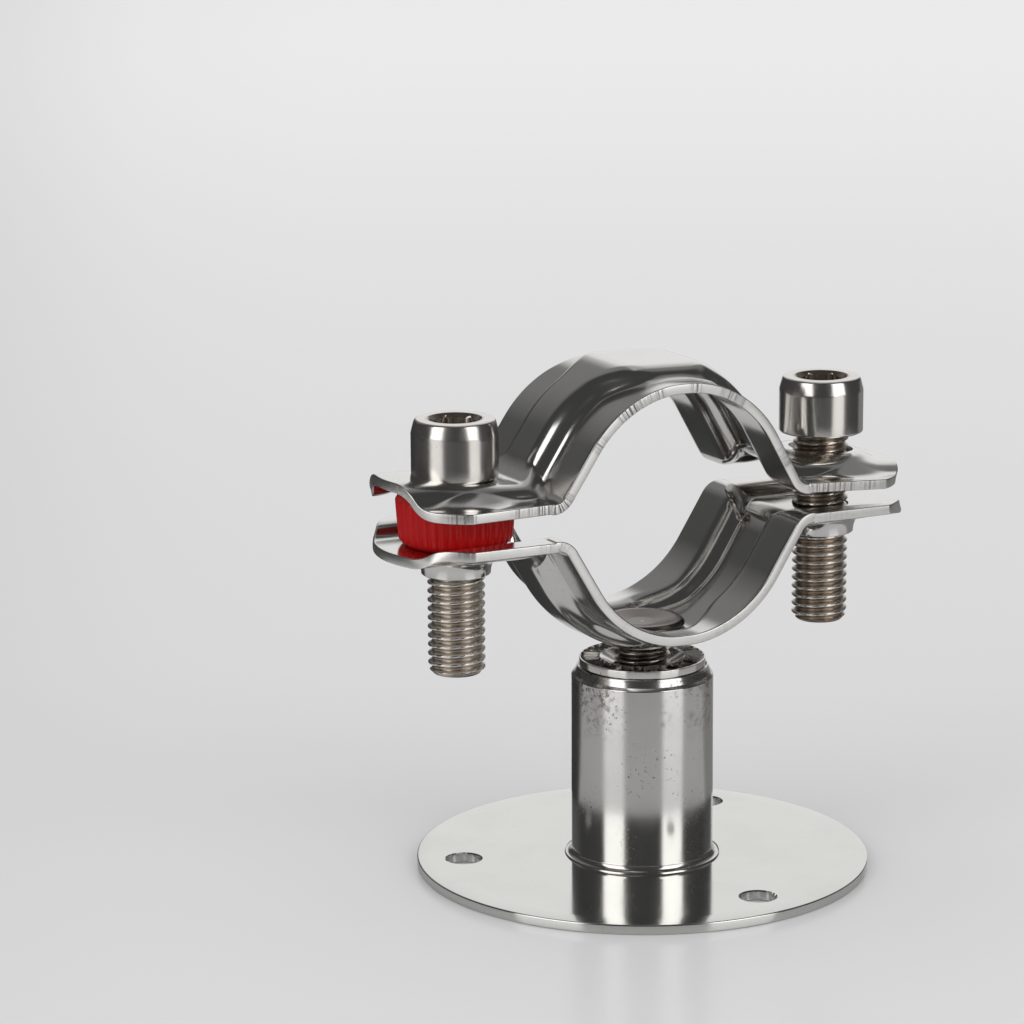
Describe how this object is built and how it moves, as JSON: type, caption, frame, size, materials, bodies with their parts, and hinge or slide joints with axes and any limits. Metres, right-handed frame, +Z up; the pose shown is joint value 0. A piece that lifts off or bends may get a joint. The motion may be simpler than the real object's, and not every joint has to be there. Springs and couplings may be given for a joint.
{
  "type": "pipe bracket",
  "caption": "Stainless pipe bracket: a ribbed split clamp on a threaded stud, screwed into a flange nut on a welded sleeve and a round drilled foot.",
  "frame": {"origin": "middle of the foot's underside, on the axis of the sleeve and stud", "axes": "+Z up the sleeve, +Y along the clamped pipe, +X from the left screw to the right one"},
  "size_m": [0.0812, 0.064, 0.0733],
  "materials": {
    "foot_steel": "polished stainless steel",
    "weld_steel": "weld bead, lightly brushed",
    "fastener_steel": "bright rolled-thread stainless steel",
    "clamp_steel": "pressed and polished stainless sheet",
    "spacer_plastic": "ribbed red plastic"
  },
  "bodies": {
    "root": {"base_plate": "foot_steel", "sleeve": "foot_steel", "foot_weld": "weld_steel", "flange_nut": "fastener_steel", "stud": "fastener_steel", "lower_clamp_half": "clamp_steel", "upper_clamp_half": "clamp_steel", "left_screw": "fastener_steel", "right_screw": "fastener_steel", "spacer": "spacer_plastic"}
  },
  "joints": []
}
